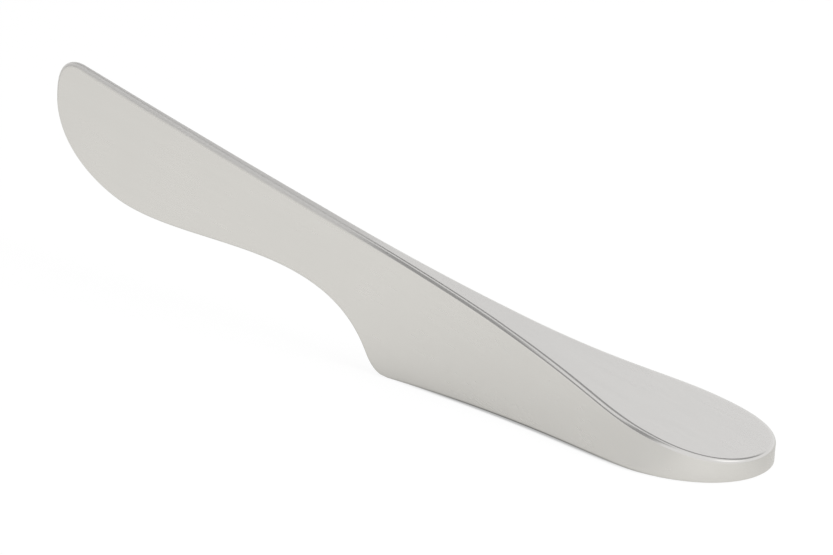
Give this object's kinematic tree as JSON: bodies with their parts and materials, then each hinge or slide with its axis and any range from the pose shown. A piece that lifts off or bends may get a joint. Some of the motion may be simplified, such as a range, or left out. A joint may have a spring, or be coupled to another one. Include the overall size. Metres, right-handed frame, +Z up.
{
  "type": "butter knife",
  "caption": "Standing butter knife with an upright round-ended blade and a hollow wedge handle that widens into a flat foot.",
  "frame": {"origin": "middle of the knife's length and width, on the plane that the foot stands on", "axes": "+X from the tip of the blade towards the butt, +Y across the knife, +Z up from the table"},
  "size_m": [0.175, 0.0272, 0.0497],
  "materials": {
    "blade_steel": "satin",
    "handle_steel": "satin with polished edges",
    "plate_steel": "fine ground",
    "bedding": "cast"
  },
  "bodies": {
    "root": {"blade": "blade_steel", "handle_shell": "handle_steel", "foot_plate": "plate_steel", "tang_bedding": "bedding"}
  },
  "joints": []
}
